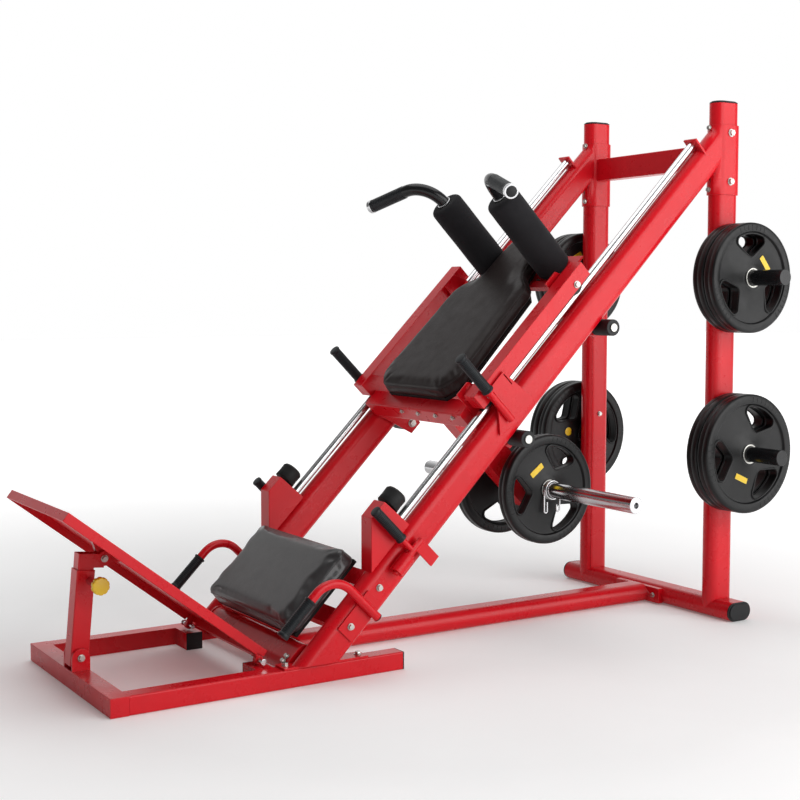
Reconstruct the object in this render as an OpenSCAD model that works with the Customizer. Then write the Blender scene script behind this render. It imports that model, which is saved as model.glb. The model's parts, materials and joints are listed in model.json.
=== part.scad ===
// Plate-loaded 45 degree leg press and hack squat machine.
// +X runs from the foot plate towards the uprights, +Y is the user's left, +Z is up.
// The origin is on the floor, in the middle of the machine.

/* [Frame] */
// Distance between the centre planes of the two rails
rail_gauge = 614; // [600:1:640]
// Narrow side of every flat-oval tube
tube_w = 60; // [56:1:64]
// Deep side of every flat-oval tube
tube_d = 100; // [96:1:104]
// Wall of every tube
tube_wall = 3; // [2:0.5:4]
// Height of the uprights without their caps
upright_top = 1657; // [1640:1:1680]
// Distance from the front of the base to the centre of the uprights
upright_x = 2083; // [2075:1:2095]
// Square tube of the front base
base_tube = 50; // [48:1:52]
// Outer width of the front base
base_w = 642; // [636:1:650]
// Length of the side tubes of the front base
base_len = 852; // [820:1:880]
// Length of the rear cross tube without its caps
rear_len = 810; // [800:1:840]

/* [Rails] */
// Where the centre line of the rails meets the floor
rail_x = 530; // [528:1:532]
// Radius of the chrome guide rods
rod_r = 12.5; // [12:0.5:13]
// Height of the guide rods above the centre line of the rails
rod_n = 71.5; // [71:0.5:72]

/* [Carriage] */
// Width of the back pad at its lower end
back_w = 424; // [400:2:440]
// Length of the back pad from its lower edge to the headrest
back_len = 494; // [480:2:500]
// Thickness of the back pad
back_t = 48; // [40:1:54]
// Radius of the shoulder rollers
shoulder_r = 54; // [46:1:55]
// Distance between the shoulder rollers
shoulder_gauge = 299; // [296:1:310]

/* [Seat and foot plate] */
// Width of the seat pad
seat_w = 520; // [480:2:524]
// Length of the seat pad
seat_len = 280; // [260:2:290]
// Thickness of the seat pad
seat_t = 54; // [46:1:56]
// Length of the foot plate
foot_len = 688; // [670:1:700]
// Width of the foot plate
foot_w = 476; // [460:2:490]

/* [Weights] */
// Radius of the upper stored plates
plate_up_r = 174; // [165:1:178]
// Radius of the lower stored plates
plate_lo_r = 190; // [180:1:194]
// Radius of the plates on the carriage horns
plate_horn_r = 173; // [160:1:176]
// Radius of the horns and pegs
horn_r = 25; // [24.5:0.25:25.5]

/* [Hidden] */
$fn = 48;
eps = 0.5;
half_gauge = rail_gauge / 2;
in_y = half_gauge - tube_w / 2;
out_y = half_gauge + tube_w / 2;
half_base = base_w / 2;
base_in = half_base - base_tube;
rail_top = tube_d / 2;
// the machine reaches from the upper edge of the foot plate to the rim of the lower stored plates
hinge_x = 450;
hinge_z = 65;
foot_angle = 37.7;
foot_t = 4;
foot_flange = 26;
foot_lift = 33;
foot_back = 6;
foot_tip_x = hinge_x + foot_back * cos(foot_angle) + foot_lift * sin(foot_angle) - foot_len * cos(foot_angle)
    - foot_flange * sin(foot_angle);
x_mid = (foot_tip_x + upright_x + plate_lo_r) / 2;

// stations along the rails, measured from where their centre line meets the floor
u_seat = 96;
u_bracket = 528;
u_bumper = 575;
u_side_lo = 926;
u_side_hi = 1476;
u_rod_end = 2075;
u_wheel_lo = 963;
u_wheel_hi = 1417;
u_horn = 1008;
n_horn = -392;
n_pad = 101;

// carriage side channel
side_n0 = 92;
side_n1 = 142;
side_in = 285;
side_out = 337;
side_wall = 3;
hang_y = 264;
hang_t = 6;

// grooved wheels on the guide rods and rollers under the rails
wheel_root = 21;
wheel_rim = 32;
wheel_gap = 0.4;
wheel_half = 17;
wheel_n = rod_n + rod_r + wheel_root + wheel_gap;
wheel_axle_r = 6;
under_r = 25;
under_n = -rail_top - under_r - 2;
under_axle_r = 8;
run_fit = 0.05;

// post under the foot plate and its lugs on the front tube
lug_y = 31;
lug_t = 8;
lug_r = 25;
post_bolt_r = 6;
post_x = 27;
post_z = 84;
post_lean = 5.2;
post_len = 232;
pin_s = 262.5;
pin_off = 49.5;
pin_r = 5;
pin_play = 3.5;
latch_s = post_len - 28;
latch_x = 12;
latch_step = 30;

// storage
peg_up_z = 1100;
peg_lo_z = 543;
peg_end = 575;
peg_r = horn_r - 0.5;
plate_t = 46;
plate_y0 = 352;
horn_end = 537;
horn_plate_y = 96;
horn_plate_t = 44;

red = [0.80, 0.05, 0.08];
black = [0.06, 0.06, 0.07];
chrome = [0.80, 0.81, 0.83];
steel = [0.62, 0.62, 0.60];
yellow = [0.93, 0.76, 0.05];
rubber = [0.10, 0.11, 0.12];
pad_black = [0.12, 0.12, 0.13];

// ---- helpers ----

// origin on the floor in the middle of the machine
module placed() { translate([-x_mid, 0, 0]) children(); }

// x along the rails, y across the machine, z square to the rails
module on_rail(u = 0, y = 0, n = 0) {
    translate([rail_x, 0, 0]) rotate([0, -45, 0]) translate([u, y, n]) children();
}

// the same piece on the left and on the right
module both_sides() {
    children();
    mirror([0, 1, 0]) children();
}

// flat oval, narrow along X and deep along Y
module oval(w, d) {
    square([w, d - w], center = true);
    for (s = [-1, 1]) translate([0, s * (d - w) / 2]) circle(w / 2);
}

// flat oval, deep along X and narrow along Y
module oval_flat(w, d) { rotate([0, 0, 90]) oval(w, d); }

module oval_tube_flat(len) {
    linear_extrude(len) difference() {
        oval_flat(tube_w, tube_d);
        oval_flat(tube_w - 2 * tube_wall, tube_d - 2 * tube_wall);
    }
}

module oval_tube(w, d, wall, len) {
    linear_extrude(len) difference() {
        oval(w, d);
        oval(w - 2 * wall, d - 2 * wall);
    }
}

module box_tube(w, d, wall, len) {
    linear_extrude(len) difference() {
        square([w, d], center = true);
        square([w - 2 * wall, d - 2 * wall], center = true);
    }
}

// box from its low corner to its high corner
module box(a, b) { translate(a) cube(b - a); }

// cylinder along Y
module rod_y(r, y0, y1) { translate([0, y0, 0]) rotate([-90, 0, 0]) cylinder(r = r, h = y1 - y0); }

// hexagon head on a washer, standing on the plane z = 0 towards +Z
module bolt_head(r = 9, h = 7) {
    cylinder(r = r * 1.25, h = 2);
    translate([0, 0, 2]) cylinder(r = r, h = h, $fn = 6);
}

// round bar that rises along Z to the height h and then runs along +X to x = reach
module elbow_bar(h, reach, r, bend) {
    cylinder(r = r, h = h - bend);
    translate([bend, 0, h - bend]) rotate([90, 0, 0]) rotate([0, 0, 90]) rotate_extrude(angle = 90)
        translate([bend, 0]) circle(r);
    translate([bend, 0, h]) rotate([0, 90, 0]) cylinder(r = r, h = reach - bend);
}

// ---- base ----

// front tube with the lugs that carry the support post
module front_cross_tube() color(red) placed() {
    difference() {
        box([0, -half_base, 0], [base_tube, half_base, base_tube]);
        box([tube_wall, -half_base + tube_wall, tube_wall],
            [base_tube - tube_wall, half_base - tube_wall, base_tube - tube_wall]);
    }
    difference() {
        for (s = [-1, 1]) {
            box([2, s * lug_y - lug_t / 2, base_tube - 1], [52, s * lug_y + lug_t / 2, post_z]);
            translate([post_x, 0, post_z]) rod_y(lug_r, s * lug_y - lug_t / 2, s * lug_y + lug_t / 2);
        }
        translate([post_x, 0, post_z]) rod_y(post_bolt_r, -60, 60);
    }
}

// side tube with the stub that carries the foot plate's hinge
module base_tube_half() {
    stub_in = 190;
    difference() {
        union() {
            box([base_tube, base_in, 0], [base_tube + base_len - 46, half_base, base_tube]);
            box([hinge_x - 25, stub_in, 0], [hinge_x + 25, base_in + eps, base_tube]);
        }
        box([base_tube - 1, base_in + tube_wall, tube_wall],
            [base_tube + base_len, half_base - tube_wall, base_tube - tube_wall]);
        box([hinge_x - 25 + tube_wall, stub_in - 1, tube_wall],
            [hinge_x + 25 - tube_wall, base_in - eps, base_tube - tube_wall]);
    }
}

module base_tube_left() color(red) placed() base_tube_half();
module base_tube_right() color(red) placed() mirror([0, 1, 0]) base_tube_half();

// end plugs of the base tubes, the hinge stubs, the rear tube and the uprights
module tube_caps() color(black) placed() both_sides() {
    tube_end = base_tube + base_len - 46;
    box([tube_end, base_in, 0], [tube_end + 4, half_base, base_tube]);
    box([hinge_x - 25, 186, 0], [hinge_x + 25, 190, base_tube]);
    translate([upright_x, rear_len / 2, tube_w / 2]) rotate([-90, 0, 0]) rotate([0, 0, 90]) {
        linear_extrude(6) oval(tube_w, tube_d);
        translate([0, 0, 6]) linear_extrude(4) oval(tube_w - 10, tube_d - 10);
    }
    translate([upright_x, half_gauge, upright_top]) rotate([0, 0, 90]) {
        linear_extrude(4) oval(tube_w, tube_d);
        translate([0, 0, 4]) linear_extrude(3) oval(tube_w - 10, tube_d - 10);
    }
}

// tube along the middle, with the flange that bolts it to the rear cross tube
module centre_base_tube() color(red) placed() {
    front = 575;
    flange_x = upright_x - 62;
    difference() {
        union() {
            translate([front, 0, tube_w / 2]) rotate([0, 90, 0])
                oval_tube(tube_w, tube_d, tube_wall, flange_x + 3 - front);
            box([flange_x, -105, 5], [upright_x - 42, 105, 55]);
        }
        rear_core();
        on_rail() seat_cross_core();
    }
}

// flat-oval cross tube between the feet of the rails
module seat_cross_core() {
    translate([60, -in_y, 18]) rotate([-90, 0, 0]) linear_extrude(2 * in_y) oval_flat(tube_w, 92);
}

module seat_cross_tube() color(red) placed() difference() {
    on_rail() {
        translate([60, -in_y, 18]) rotate([-90, 0, 0]) rotate([0, 0, 90])
            oval_tube(tube_w, 92, tube_wall, 2 * in_y);
        // end flanges
        for (s = [-1, 1]) translate([60, s * (in_y - 4) - 4, 18]) rotate([-90, 0, 0])
            rotate([0, 0, 90]) linear_extrude(8) oval(tube_w + 6, 98);
    }
    // room for the base tubes and the foot flanges of the rails
    both_sides() box([400, base_in - 3, -20], [800, half_base, base_tube + 7]);
}

module rear_core() {
    translate([upright_x, 0, tube_w / 2]) rotate([-90, 0, 0]) translate([0, 0, -rear_len / 2])
        rotate([0, 0, 90]) linear_extrude(rear_len) oval(tube_w, tube_d);
}

module rear_cross_tube() color(red) placed()
    translate([upright_x, -rear_len / 2, tube_w / 2]) rotate([-90, 0, 0]) rotate([0, 0, 90])
        oval_tube(tube_w, tube_d, tube_wall, rear_len);

// ---- uprights and rails ----

module upright_half() difference() {
    translate([upright_x, half_gauge, tube_w / 2]) rotate([0, 0, 90])
        oval_tube(tube_w, tube_d, tube_wall, upright_top - tube_w / 2);
    rear_core();
}

module upright_left() color(red) placed() upright_half();
module upright_right() color(red) placed() mirror([0, 1, 0]) upright_half();

sleeve_t = 5;
sleeve_z0 = 1366;
sleeve_z1 = 1587;

module top_cross_beam() color(red) placed() {
    y1 = in_y - sleeve_t;
    translate([upright_x, -y1, 1493]) rotate([-90, 0, 0]) box_tube(50, 76, tube_wall, 2 * y1);
}

// flat-oval rail, cut level at its foot and welded to a sleeve round the upright
module rail_half() {
    foot_z = base_tube + 6;
    difference() {
        union() {
            on_rail(-60, half_gauge, 0) rotate([0, 90, 0]) oval_tube_flat(2400);
            // plate that holds the upper end of the guide rod
            on_rail(u_rod_end, 0, 0) difference() {
                box([0, in_y + 6, 20], [6, out_y, 92]);
                translate([-1, half_gauge, 0]) rotate([0, 90, 0]) linear_extrude(8)
                    oval_flat(tube_w - 2 * tube_wall, tube_d - 2 * tube_wall);
            }
        }
        box([0, 0, -200], [900, 600, foot_z]);
        box([upright_x - 20, 0, 1000], [2400, 600, 2200]);
        translate([upright_x, half_gauge, 1100]) rotate([0, 0, 90]) linear_extrude(700)
            oval(tube_w + 2 * sleeve_t, tube_d + 2 * sleeve_t);
    }
    // foot flange on the base tube
    box([482, base_in - 2, base_tube], [742, half_base + 2, foot_z + eps]);
    // sleeve round the upright
    translate([upright_x, half_gauge, sleeve_z0]) rotate([0, 0, 90]) linear_extrude(sleeve_z1 - sleeve_z0)
        difference() {
            oval(tube_w + 2 * sleeve_t, tube_d + 2 * sleeve_t);
            oval(tube_w, tube_d);
        }
}

module rail_left() color(red) placed() rail_half();
module rail_right() color(red) placed() mirror([0, 1, 0]) rail_half();

module guide_rods() color(chrome) placed() both_sides() on_rail(u_bracket - 24, half_gauge, rod_n)
    rotate([0, 90, 0]) cylinder(r = rod_r, h = u_rod_end - u_bracket + 24);

// folded boxes on the rails that hold the bumpers and the lower ends of the guide rods
module bumper_brackets() color(red) placed() both_sides() {
    outline = [[745, 286], [745, 437], [787, 479], [868, 409]];
    difference() {
        translate([0, out_y - 2, 0]) rotate([90, 0, 0]) linear_extrude(tube_w - 4) difference() {
            polygon(outline);
            offset(delta = -4) polygon(outline);
        }
        on_rail(u_bracket - 30, half_gauge, rod_n) rotate([0, 90, 0]) cylinder(r = rod_r, h = 60);
    }
    for (y = [in_y + 2, out_y - 6])
        translate([0, y + 4, 0]) rotate([90, 0, 0]) linear_extrude(4) polygon(outline);
}

bumper_r = 33.5;

module bumpers() color(rubber) placed() both_sides()
    on_rail(u_bracket, half_gauge - 1, 128) rotate([0, 90, 0]) {
        cylinder(r = bumper_r, h = u_bumper - u_bracket - 4);
        translate([0, 0, u_bumper - u_bracket - 4]) cylinder(r1 = bumper_r, r2 = bumper_r - 4, h = 4);
    }

// bolts and nuts that hold the frame together
module frame_bolts() color(steel) placed() {
    both_sides() {
        // rail sleeves: side bolts and front bolts
        for (z = [1408, 1562]) translate([upright_x, out_y + sleeve_t, z])
            rotate([-90, 0, 0]) bolt_head(10, 8);
        for (z = [1383, 1579]) translate([upright_x - tube_d / 2 - sleeve_t, half_gauge - 6, z])
            rotate([0, -90, 0]) bolt_head(7, 5);
        // foot flanges of the rails
        for (x = [497, 722]) translate([x, 298, base_tube + 6.5]) bolt_head(8, 7);
        // seat frame bolts through the rails, one of them through the plate of the seat handle
        on_rail(207, out_y + 6, 4) rotate([-90, 0, 0]) bolt_head(8, 7);
        on_rail(341, out_y, 4) rotate([-90, 0, 0]) bolt_head(8, 7);
        // end flanges of the seat cross tube
        for (u = [30, 46]) on_rail(u, in_y - 26, 18 + tube_w / 2) bolt_head(6, 8);
        // nuts on the inner side of the uprights
        translate([upright_x, in_y, 620]) rotate([90, 0, 0]) bolt_head(7, 6);
        // flange of the centre tube
        translate([upright_x - 62, 78, 30]) rotate([0, -90, 0]) bolt_head(7, 6);
    }
    // bolt through the lugs and the foot of the support post
    translate([post_x, 0, post_z]) {
        rod_y(post_bolt_r, -lug_y - 4, lug_y + 4);
        translate([0, lug_y + lug_t / 2, 0]) rotate([-90, 0, 0]) bolt_head(8, 7);
        translate([0, -lug_y - lug_t / 2, 0]) rotate([90, 0, 0]) bolt_head(8, 7);
    }
}

// ---- seat ----

module seat_frame() color(red) placed() on_rail() {
    // cross tubes between the rails
    for (u = [207, 341]) translate([u, -in_y, 8]) rotate([-90, 0, 0]) box_tube(50, 40, tube_wall, 2 * in_y);
    // longitudinal tubes under the board
    for (y = [-170, 170]) translate([u_seat + 10, y, 42.5])
        rotate([0, 90, 0]) box_tube(29, 40, tube_wall, 262);
    // front apron
    box([u_seat + 4, -235, 38], [u_seat + 10, 235, 57]);
}

module seat_board() color(black) placed() on_rail()
    box([u_seat + 6, -seat_w / 2 + 14, 57], [u_seat + seat_len - 6, seat_w / 2 - 14, 69.5]);

module seat_pad() color(pad_black) placed() on_rail(u_seat, 0, 70) translate([0, 0, seat_t / 2])
    padded_block(seat_len, seat_w, seat_t, 22);

// rounded block, low end at x = 0, centred in y and z
module padded_block(l, w, t, r) {
    linear_extrude(t, center = true) {
        translate([r, -w / 2]) square([l - 2 * r, w]);
        translate([0, -w / 2 + r]) square([l, w - 2 * r]);
        for (x = [r, l - r], y = [-w / 2 + r, w / 2 - r]) translate([x, y]) circle(r);
    }
}

seat_handle_y = 354.5;

module seat_handles() color(red) placed() both_sides() {
    on_rail() {
        translate([275, seat_handle_y, -38]) rotate([0, 0, 180]) elbow_bar(195, 213, 12.5, 75);
        box([178, out_y, -30], [312, out_y + 6, 30]);
    }
}

module seat_grips() color(rubber) placed() both_sides() on_rail() {
    difference() {
        translate([56, seat_handle_y, 157]) rotate([0, 90, 0]) cylinder(r = 16, h = 122);
        translate([62, seat_handle_y, 157]) rotate([0, 90, 0]) cylinder(r = 12.5, h = 120);
    }
    translate([275, seat_handle_y, -42]) cylinder(r = 12.5, h = 4);
}

// ---- safety levers ----

lever_y = 358;
lever_n = 5;
lever_r = 10;

module lever_barrels() color(red) placed() both_sides() on_rail() difference() {
    union() {
        translate([400, lever_y, lever_n]) rotate([0, 90, 0]) cylinder(r = 20, h = 56);
        box([404, out_y, lever_n - 14], [452, lever_y, lever_n + 14]);
    }
    translate([395, lever_y, lever_n]) rotate([0, 90, 0]) cylinder(r = lever_r + run_fit, h = 70);
}

module lever(side) on_rail(0, side * lever_y, lever_n) {
    translate([394, 0, 0]) rotate([0, 90, 0]) cylinder(r = lever_r, h = 122);
    translate([457, 0, 0]) rotate([0, 90, 0]) cylinder(r = 14, h = 6);
    translate([476, 0, 0]) cylinder(r = 8, h = 160);
    box([484, -3, -78], [520, 3, 4]);
}

module lever_left() color(red) placed() lever(1);
module lever_right() color(red) placed() lever(-1);

module lever_grip(side) on_rail(476, side * lever_y, lever_n) difference() {
    translate([0, 0, 51]) cylinder(r = 15, h = 122);
    translate([0, 0, 45]) cylinder(r = 8, h = 115);
}

module lever_grip_left() color(rubber) placed() lever_grip(1);
module lever_grip_right() color(rubber) placed() lever_grip(-1);

// ---- foot plate ----

// x from the hinge up the plate, y across, z square to the plate
module on_foot() {
    translate([hinge_x, 0, hinge_z]) rotate([0, 180 + foot_angle, 0]) mirror([0, 0, 1]) children();
}

hinge_pin_r = 6;
barrel_r = 12;

// fixed barrels on the stubs and the pins through them
module foot_hinge_pins() color(chrome) placed() both_sides() {
    translate([hinge_x, 0, hinge_z]) {
        rod_y(hinge_pin_r, 196, 262);
        rod_y(9, 262, 267);
    }
}

module foot_plate() color(red) placed() on_foot() {
    x0 = -foot_back;
    x1 = foot_len - foot_back;
    difference() {
        box([x0, -foot_w / 2, foot_lift - foot_flange], [x1, foot_w / 2, foot_lift]);
        box([x0 + foot_t, -foot_w / 2 + foot_t, foot_lift - foot_flange - 1],
            [x1 - foot_t, foot_w / 2 - foot_t, foot_lift - foot_t]);
        // clearance over the fixed hinge barrels
        both_sides() box([-30, 190, -20], [16, 268, barrel_r + 2]);
    }
}

// centre rib under the foot plate with the lug of the support post, and the knuckles on the hinge pins
module foot_rib() color(red) placed() {
    on_foot() difference() {
        union() {
            translate([0, 6, 0]) rotate([90, 0, 0]) linear_extrude(12)
                polygon([[60, 24], [foot_len - 40, foot_lift - foot_t], [120, foot_lift - foot_t],
                    [60, foot_lift - foot_t]]);
            translate([pin_x, 0, pin_z]) rod_y(20, -9, 9);
            translate([0, 9, 0]) rotate([90, 0, 0]) linear_extrude(18)
                polygon([[pin_x - 20, pin_z], [pin_x - 60, foot_lift - foot_t],
                    [pin_x + 60, foot_lift - foot_t], [pin_x + 20, pin_z]]);
        }
        translate([pin_x, 0, pin_z]) rod_y(pin_r + pin_play, -20, 20);
    }
    both_sides() on_foot() difference() {
        union() {
            rod_y(barrel_r, 222, 238);
            box([foot_t - foot_back, 222, 4], [14, foot_w / 2 - foot_t, foot_lift - foot_t]);
        }
        rod_y(hinge_pin_r + run_fit, 200, 260);
    }
}

// the post's pin in the frame of the foot plate
pin_wx = post_x + pin_s * sin(post_lean) + pin_off * cos(post_lean);
pin_wz = post_z + pin_s * cos(post_lean) - pin_off * sin(post_lean);
pin_x = -(pin_wx - hinge_x) * cos(foot_angle) + (pin_wz - hinge_z) * sin(foot_angle);
pin_z = (pin_wx - hinge_x) * sin(foot_angle) + (pin_wz - hinge_z) * cos(foot_angle);

// ---- support post ----

// z along the post from its lower pin
module on_post() { translate([post_x, 0, post_z]) rotate([0, post_lean, 0]) children(); }

module post_outer() color(red) placed() on_post() difference() {
    translate([0, 0, -24]) box_tube(50, 50, tube_wall, post_len + 24);
    rod_y(post_bolt_r + run_fit, -30, 30);
    translate([latch_x, 0, latch_s]) rod_y(pin_r, -30, 0);
}

// inner tube with the ears that hold the upper pin and the row of latch holes
module post_inner() color(red) placed() on_post() difference() {
    union() {
        translate([0, 0, 70]) box_tube(43, 43, tube_wall, 205);
        for (y0 = [-21.5, 16]) translate([0, y0, 0]) {
            box([0, 0, 238], [pin_off, 5.5, 275]);
            translate([pin_off, 0, pin_s]) rod_y(20, 0, 5.5);
        }
    }
    translate([pin_off, 0, pin_s]) rod_y(pin_r, -30, 30);
    for (k = [0:3]) translate([latch_x, 0, latch_s - k * latch_step]) rod_y(pin_r, -30, 0);
    box([pin_off - 60, -13, 232], [pin_off + 40, 13, 300]);
}

module post_pin() color(steel) placed() on_post() translate([pin_off, 0, pin_s]) {
    rod_y(pin_r, -21.5, 21.5);
    translate([0, 21.5, 0]) rotate([-90, 0, 0]) bolt_head(8, 6);
    translate([0, -21.5, 0]) rotate([90, 0, 0]) bolt_head(8, 6);
}

knob_shank_r = 4.5;

module pop_pin_body() color(chrome) placed() on_post() translate([latch_x, 0, latch_s]) difference() {
    rod_y(11, -72, -25);
    rod_y(knob_shank_r + run_fit, -80, -20);
}

module pop_pin_knob() color(yellow) placed() on_post() translate([latch_x, 0, latch_s]) {
    rod_y(knob_shank_r, -96, -22);
    rod_y(8, -96, -86);
    rod_y(24, -113, -95);
}

// ---- storage ----

module storage_pegs() color(black) placed() both_sides()
    for (z = [peg_up_z, peg_lo_z]) translate([upright_x, 0, z]) {
        rod_y(horn_r, out_y, plate_y0 + 100);
        rod_y(peg_r, plate_y0 + 100, peg_end);
        rod_y(45, out_y, out_y + 8);
    }

// weight plate with three grip holes, from y = 0 to y = t; turn is where its first hole stands
module weight_plate(r, t, bore, turn) {
    hub = 38;
    rim = r * 0.16;
    dish = 6;
    rotate([-90, 0, 0]) difference() {
        cylinder(r = r, h = t, $fn = 96);
        translate([0, 0, -1]) cylinder(r = bore, h = t + 2);
        for (z = [-1, t - dish]) translate([0, 0, z]) difference() {
            cylinder(r = r - rim, h = dish + 1, $fn = 96);
            translate([0, 0, -1]) cylinder(r = hub, h = dish + 3);
        }
        for (k = [0, 120, 240]) rotate([0, 0, k - turn]) grip_hole(r, t);
    }
}

// rounded triangular hole, its point towards the hub and its broad side along the rim
module grip_hole(r, t) {
    corner = 20;
    lobe = r * 0.1;
    far = r * 0.7;
    near = r * 0.48;
    side = atan2(far * sin(corner), far * cos(corner) - near) + 90;
    steps = 6;
    broad = [for (k = [0:steps]) (far + lobe) * arm(corner * (2 * k / steps - 1))];
    corner_a = [for (k = [1:steps]) far * arm(corner) + lobe * arm(corner + (side - corner) * k / steps)];
    point = [for (k = [0:steps]) [near, 0] + lobe * arm(side + 2 * (180 - side) * k / steps)];
    corner_b = [for (k = [0:steps - 1]) far * arm(-corner) + lobe * arm(-side + (side - corner) * k / steps)];
    translate([0, 0, -1]) linear_extrude(t + 2) polygon(concat(broad, corner_a, point, corner_b));
}

function arm(a) = [cos(a), sin(a)];

// two plates on one peg
module stored_pair(r, z, turn) translate([upright_x, plate_y0, z]) {
    weight_plate(r, plate_t, horn_r + 0.5, turn);
    translate([0, plate_t + 1, 0]) weight_plate(r, plate_t, horn_r + 0.5, turn);
}

module plates_upper_left() color(black) placed() stored_pair(plate_up_r, peg_up_z, 40);
module plates_upper_right() color(black) placed() mirror([0, 1, 0]) stored_pair(plate_up_r, peg_up_z, 92);
module plates_lower_left() color(black) placed() stored_pair(plate_lo_r, peg_lo_z, 10);
module plates_lower_right() color(black) placed() mirror([0, 1, 0]) stored_pair(plate_lo_r, peg_lo_z, 67);

// ---- carriage ----

// inverted channel over the guide rod
module carriage_channels() color(red) placed() both_sides() on_rail() difference() {
    box([u_side_lo, side_in, side_n0], [u_side_hi, side_out, side_n1]);
    box([u_side_lo + side_wall, side_in + side_wall, side_n0 - 1],
        [u_side_hi + 1, side_out - side_wall, side_n1 - side_wall]);
    for (u = [u_wheel_lo, u_wheel_hi])
        translate([u, 0, wheel_n]) rod_y(wheel_axle_r, side_in - 5, side_out + 5);
}

// brackets that reach down over the outside of the rails, with the bars that carry the grips
module carriage_wraps() color(red) placed() both_sides() on_rail() difference() {
    union() {
        translate([0, wrap_y + 6, 0]) rotate([90, 0, 0]) linear_extrude(6)
            polygon([[wrap_u - 4, 123], [1044, 124], [1065, -12], [990, -23], [907, 0], [wrap_u - 7, 59]]);
        box([wrap_u, side_out, side_n0 + 2], [1044, wrap_y + 1, 122]);
        translate([wrap_u, grip_y, 8]) cylinder(r = grip_bar_r, h = 252);
        translate([wrap_u, grip_y, 126]) cylinder(r = 17.5, h = 4);
    }
    box([1038, wrap_y - 1, 76], [1042, wrap_y + 7, 118]);
    translate([u_wheel_lo, 0, wheel_n]) rod_y(16, side_out - 2, wrap_y - 0.5);
}

wrap_y = 340;
wrap_u = u_wheel_lo;
grip_y = 355;
grip_bar_r = 11;

// cross tube and centre spine under the pad, the top plate and the arm that carries the weight horns
module carriage_frame() color(red) placed() on_rail() {
    difference() {
        union() {
            box([887, -hang_y, 44], [945, hang_y, 101]);
            box([944, -30, 52], [1560, 30, 101]);
            box([1412, -hang_y, 84], [1440, hang_y, 101]);
            box([950, -30, n_horn - 36], [1040, 30, 56]);
        }
        box([887 + tube_wall, -hang_y + tube_wall, 44 + tube_wall],
            [945 - tube_wall, hang_y - tube_wall, 101 - tube_wall]);
        box([950 + tube_wall, -30 + tube_wall, n_horn - 36 + tube_wall],
            [1040 - tube_wall, 30 - tube_wall, 48]);
        translate([u_horn, 0, n_horn]) rod_y(horn_r, -40, 40);
    }
    // folded plate round the roller handles
    box([1439, -230, 84], [1560, 230, 90]);
    // gussets below the cross tube
    for (y = [-206, 200]) translate([0, y + 6, 0]) rotate([90, 0, 0]) linear_extrude(6)
        polygon([[890, 45], [942, 45], [942, 12]]);
}

// plates that hold the rollers under the rails, tied to the channels above
module carriage_hangers() color(red) placed() both_sides() on_rail() {
    for (u = [u_wheel_lo, u_wheel_hi]) {
        difference() {
            translate([u, hang_y + hang_t, 0]) rotate([90, 0, 0]) linear_extrude(hang_t)
                polygon([[-44, 152], [8, 152], [34, 104], [24, under_n - 24], [-24, under_n - 24], [-70, 44],
                    [-44, 72]]);
            translate([u, 0, under_n]) rod_y(under_axle_r, hang_y - 5, hang_y + 15);
        }
        box([u - 36, hang_y + hang_t, 120], [u + 10, side_in, 126]);
    }
}

// axles of the wheels and rollers with their heads and nuts, and the bolts of the cross tube
module carriage_bolts() color(steel) placed() {
    both_sides() on_rail() {
        for (u = [u_wheel_lo, u_wheel_hi]) {
            translate([u, 0, wheel_n]) rod_y(wheel_axle_r, side_in, side_out);
            translate([u, side_in, wheel_n]) rotate([90, 0, 0]) bolt_head(8, 6);
            translate([u, 0, under_n]) {
                rod_y(under_axle_r, hang_y, out_y + 18);
                rod_y(12.5, out_y + 18.4, out_y + 22);
                rod_y(under_axle_r, out_y + 17, out_y + 19);
            }
            translate([u, hang_y, under_n]) rotate([90, 0, 0]) bolt_head(11, 9);
        }
        translate([u_wheel_hi, side_out, wheel_n]) rotate([-90, 0, 0]) bolt_head(9, 6);
    }
    on_rail() for (y = [-215, -125, -31, 60]) translate([887, y, 86]) rotate([0, -90, 0]) bolt_head(6, 5);
    both_sides() on_rail(1450, 112, 90) bolt_head(5, 5);
}

module carriage_grips() color(rubber) placed() both_sides() on_rail(wrap_u, grip_y, 0) difference() {
    union() {
        translate([0, 0, 130]) cylinder(r = 16, h = 138);
        translate([0, 0, 130]) cylinder(r = 17.5, h = 6);
        translate([0, 0, 262]) cylinder(r = 18.5, h = 6);
    }
    translate([0, 0, 120]) cylinder(r = grip_bar_r, h = 140);
}

module back_board() color(black) placed() on_rail(u_side_lo, 0, n_pad) {
    back_outline(12, 6);
    head_outline(12, 6);
}

module back_pad() color(pad_black) placed() on_rail(u_side_lo, 0, n_pad + 12) back_outline(back_t, 0);

// pad outline with bevelled upper corners
module back_outline(t, inset) {
    half = back_w / 2 - inset;
    linear_extrude(t) polygon([[inset, -half + 50], [inset + 50, -half], [420, -half + 22],
        [back_len - inset, -110], [back_len - inset, 110], [420, half - 22], [inset + 50, half],
        [inset, half - 50]]);
}

// headrest outline, a wedge from the neck of the pad up between the rollers
module head_outline(t, inset) {
    low = back_len - inset;
    high = back_len + 170 - inset;
    linear_extrude(t)
        polygon([[low, -105 + inset], [high, -74 + inset], [high, 74 - inset], [low, 105 - inset]]);
}

module headrest() color(pad_black) placed() on_rail(u_side_lo + 1, 0, n_pad + 12) head_outline(back_t, 0);

shoulder_u = 1502;
shoulder_n = 91;
handle_n = 486;
handle_turn = 23;
handle_reach = 240;
handle_r = 19.5;
handle_bend = 95;
roller_len = 300;

module shoulder_handles() color(black) placed() both_sides() on_rail(shoulder_u, shoulder_gauge / 2, 90)
    rotate([0, 0, 90 + handle_turn]) elbow_bar(handle_n - 90, handle_reach, handle_r, handle_bend);

module shoulder_rollers() color(black) placed() both_sides()
    on_rail(shoulder_u, shoulder_gauge / 2, shoulder_n) difference() {
        cylinder(r = shoulder_r, h = roller_len);
        translate([0, 0, -1]) cylinder(r = handle_r, h = roller_len + 2);
    }

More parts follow.
